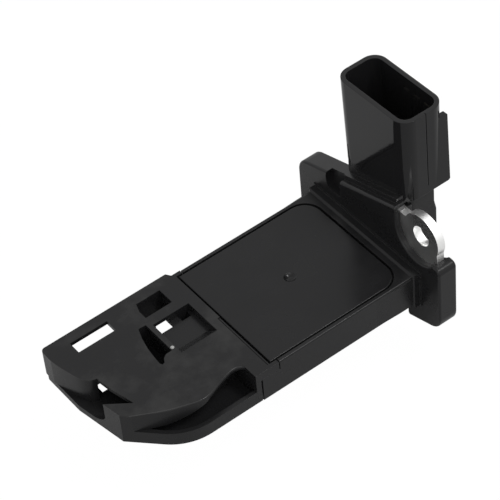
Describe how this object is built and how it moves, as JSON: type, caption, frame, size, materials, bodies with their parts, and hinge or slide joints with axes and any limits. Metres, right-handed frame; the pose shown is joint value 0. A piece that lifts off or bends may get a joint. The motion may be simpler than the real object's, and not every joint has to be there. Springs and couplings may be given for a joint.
{
  "type": "mass airflow sensor",
  "caption": "Plug-in mass airflow sensor: flat body and bypass tip for an air duct, oblique flange with two metal screw ears, upright connector",
  "frame": {"origin": "midway between the two screw holes, at half the thickness of the metal ears", "axes": "+X points out of the duct along the insertion axis, +Z towards the connector's mouth, +Y across the body"},
  "size_m": [0.0823, 0.0444, 0.0557],
  "materials": {
    "housing": "satin black glass-filled plastic, glossy on the connector",
    "cover": "matte black plastic",
    "tip": "satin black plastic",
    "ear_metal": "bright plated steel with a matte face",
    "terminal_metal": "tinned brass",
    "base_metal": "plain sheet",
    "board": "ceramic board",
    "chip": "moulded chip package",
    "capacitor": "ceramic",
    "ribbon": "bright ribbon",
    "module": "moulded strip",
    "silicon": "polished silicon",
    "gel": "clear soft gel",
    "adhesive": "cured adhesive",
    "bead": "glass-coated bead"
  },
  "bodies": {
    "root": {"air_temperature_thermistor": "bead", "base_plate": "base_metal", "bypass_cover": "tip", "bypass_housing": "tip", "capacitor_1": "capacitor", "capacitor_2": "capacitor", "capacitor_3": "capacitor", "circuit_board": "board", "circuit_cover": "cover", "control_chip": "chip", "cover_adhesive": "adhesive", "flow_chip": "silicon", "module_ribbon_1": "ribbon", "module_ribbon_2": "ribbon", "module_ribbon_3": "ribbon", "module_ribbon_4": "ribbon", "mounting_ear_lower": "ear_metal", "mounting_ear_upper": "ear_metal", "sensing_module": "module", "sensor_housing": "housing", "silicone_gel": "gel", "terminal_1": "terminal_metal", "terminal_2": "terminal_metal", "terminal_3": "terminal_metal", "terminal_4": "terminal_metal", "terminal_5": "terminal_metal", "terminal_ribbon_1": "ribbon", "terminal_ribbon_2": "ribbon", "terminal_ribbon_3": "ribbon", "terminal_ribbon_4": "ribbon", "terminal_ribbon_5": "ribbon", "thermistor_lead_1": "ribbon", "thermistor_lead_2": "ribbon"}
  },
  "joints": []
}
